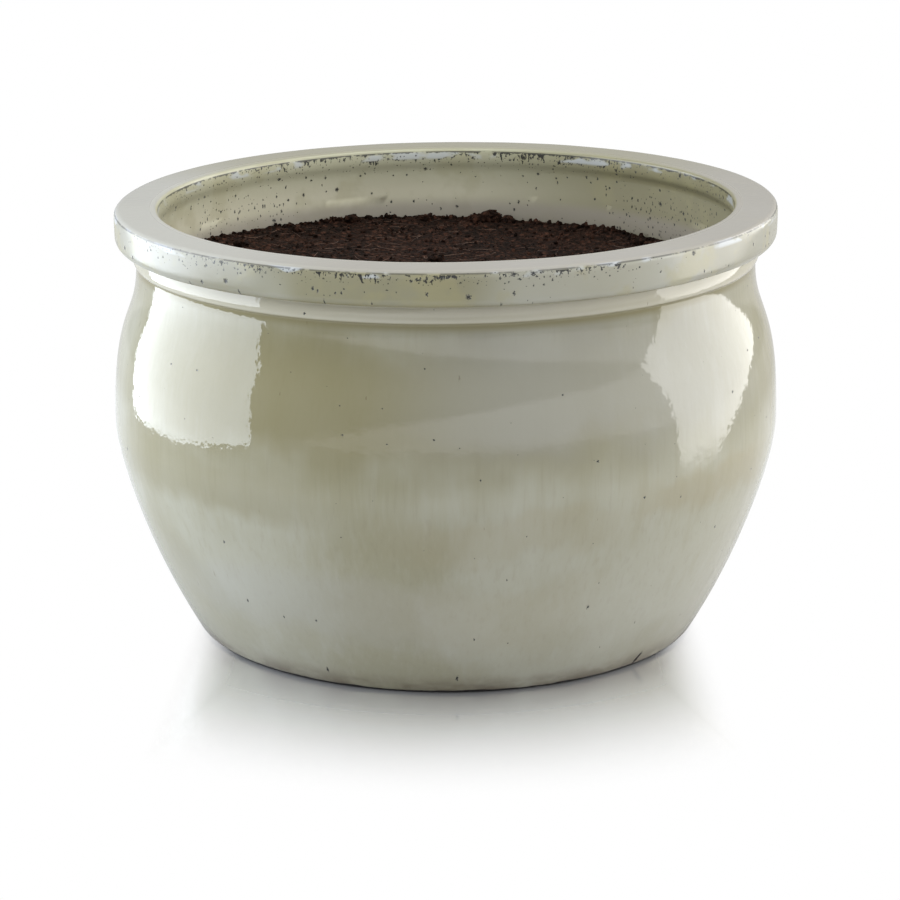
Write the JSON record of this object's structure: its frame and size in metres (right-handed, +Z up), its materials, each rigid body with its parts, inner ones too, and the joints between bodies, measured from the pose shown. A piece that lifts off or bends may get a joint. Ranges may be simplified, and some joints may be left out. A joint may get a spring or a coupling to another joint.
{
  "type": "planter",
  "caption": "Deep round glazed stoneware planter with a flat overhanging rim band, swelling belly and narrower foot, filled with potting mix over gravel and meshed drain holes.",
  "frame": {"origin": "centre of the foot, on the surface the pot stands on", "axes": "+Z up along the pot's turning axis; +Y runs from the axis over the first drain hole, away from the usual front view"},
  "size_m": [0.456, 0.456, 0.293],
  "materials": {
    "glazed_stoneware": "gloss",
    "potting_mix": "matte",
    "gravel": "matte",
    "mesh_plastic": "matte",
    "clip_wire": "satin"
  },
  "bodies": {
    "root": {"pot_shell": "glazed_stoneware", "potting_soil": "potting_mix", "drainage_gravel": "gravel", "drain_mesh_1": "mesh_plastic", "drain_mesh_2": "mesh_plastic", "drain_mesh_3": "mesh_plastic", "mesh_wire_1": "clip_wire", "mesh_wire_2": "clip_wire", "mesh_wire_3": "clip_wire"}
  },
  "joints": []
}
